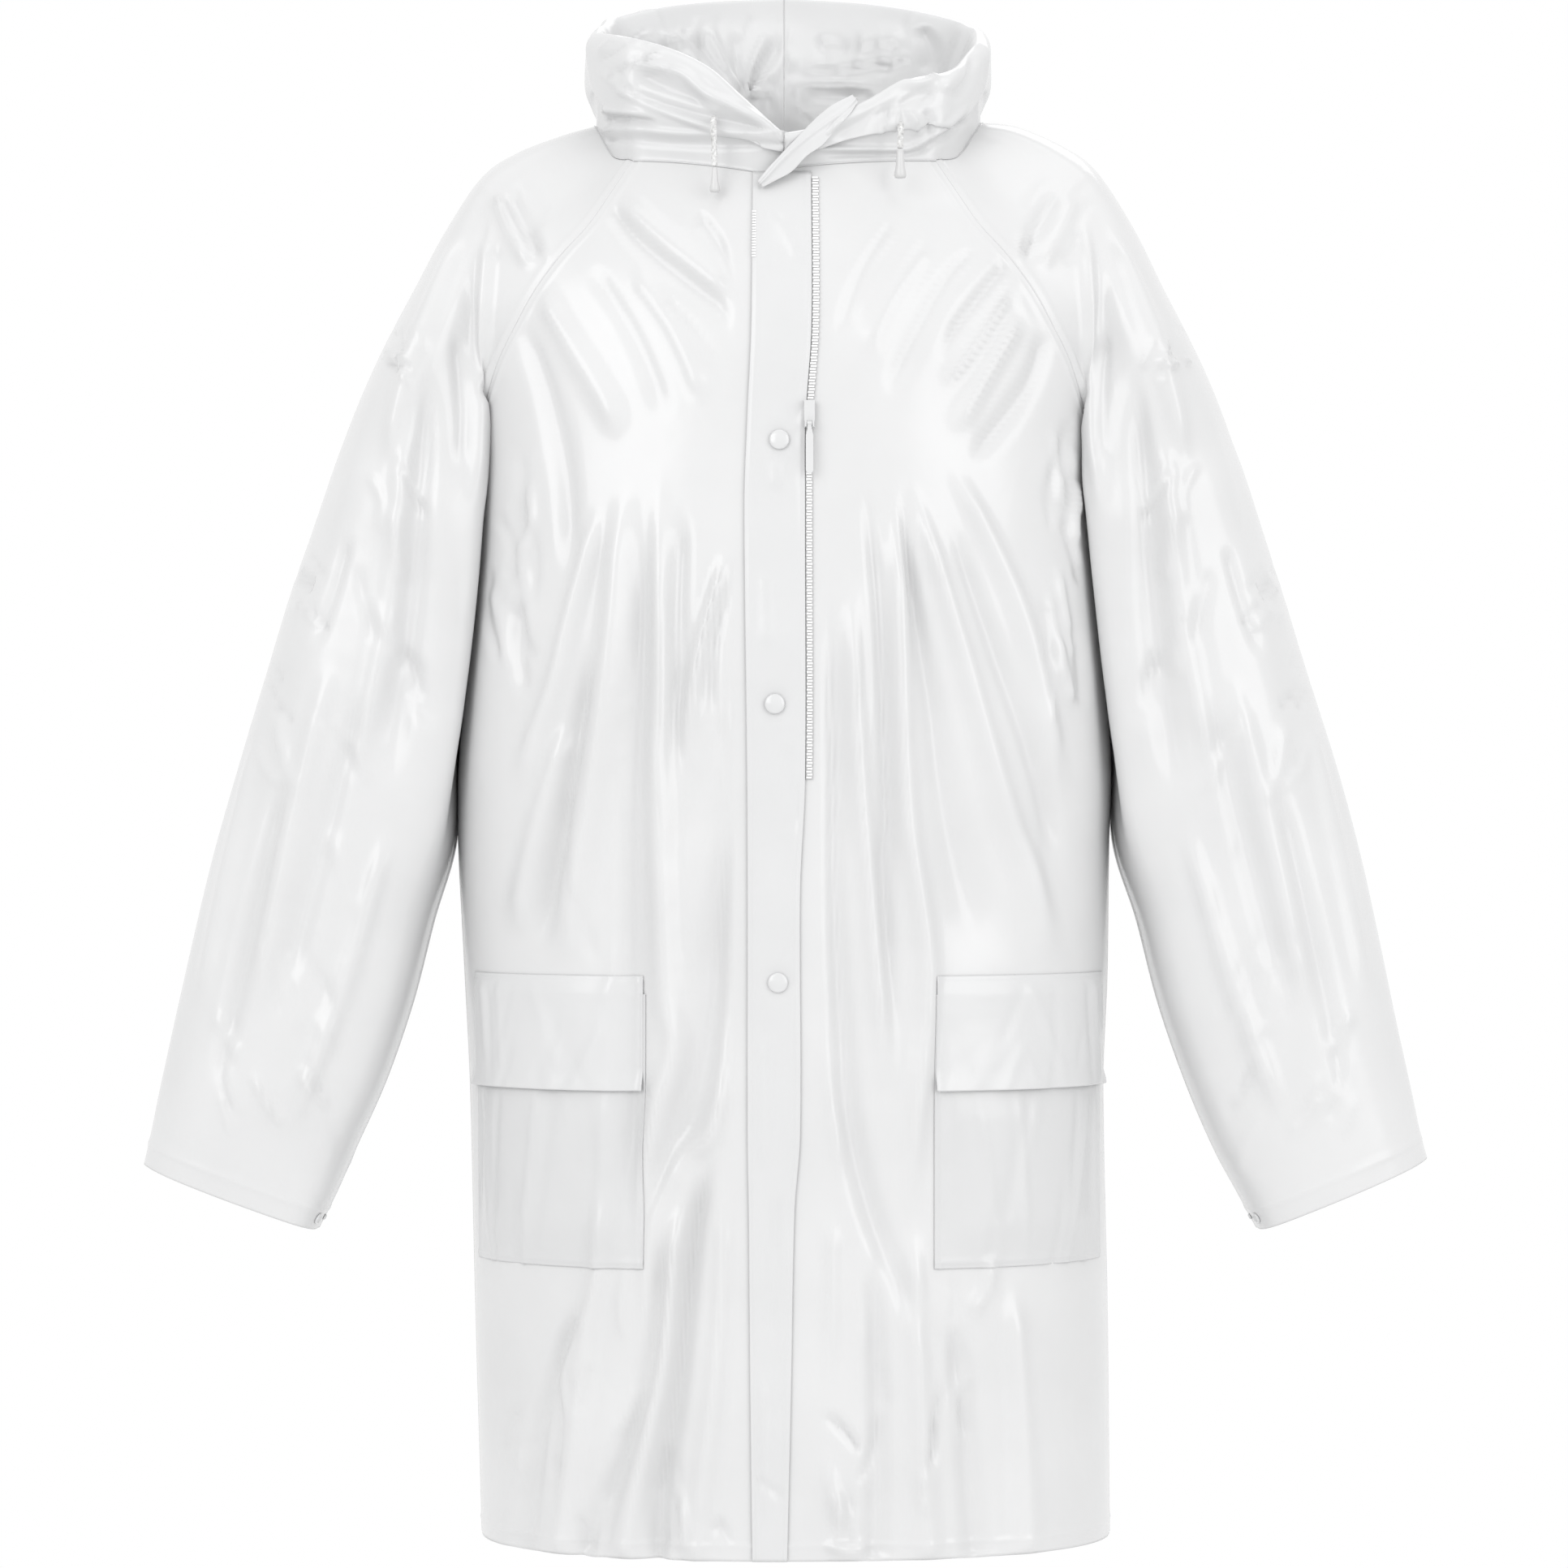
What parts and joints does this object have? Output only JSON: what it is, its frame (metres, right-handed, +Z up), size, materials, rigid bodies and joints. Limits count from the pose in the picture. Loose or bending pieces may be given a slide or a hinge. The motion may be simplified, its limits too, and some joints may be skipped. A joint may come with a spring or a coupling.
{
  "type": "raincoat",
  "caption": "Knee-length hooded raincoat of milky film with raglan sleeves, hollow and filled out as worn, with a front flap, zip, flapped pockets and hood cords.",
  "frame": {"origin": "middle of the neck at the height of the shoulders, where the wearer carries the coat", "axes": "+Z up, -Y out of the coat's front, +X to the wearer's left, which is the right of the picture"},
  "size_m": [0.866, 0.3086, 1.0521],
  "materials": {
    "film": "milky translucent glossy film",
    "double_film": "two layers of milky glossy film",
    "zip_plastic": "white moulded zip chain",
    "metal": "silvery, polished",
    "cord": "braided cord",
    "cord_end": "satin moulded cone"
  },
  "bodies": {
    "coat": {"front_right": "film", "front_left": "film", "back": "film", "sleeve_right": "film", "sleeve_left": "film", "hood_right": "film", "hood_left": "film", "pocket_bag_right": "film", "pocket_bag_left": "film", "front_flap": "double_film", "neck_strip": "double_film", "pocket_flap_right": "double_film", "pocket_flap_left": "double_film", "zip_chain": "zip_plastic", "zip_slider": "metal", "snap_top": "metal", "snap_middle": "metal", "snap_bottom": "metal", "cuff_snap_right": "metal", "cuff_snap_left": "metal", "cuff_stud_right": "metal", "cuff_stud_left": "metal", "cord_right": "cord", "cord_left": "cord", "cord_end_right": "cord_end", "cord_end_left": "cord_end"},
    "zip_pull": {"zip_pull": "metal"}
  },
  "joints": [
    {"name": "pull_hinge", "type": "hinge", "parent": "coat", "child": "zip_pull", "pos_m": [0.0166, -0.1499, -0.20369], "axis": [-1, 0, 0], "range_deg": [0, 110]}
  ]
}
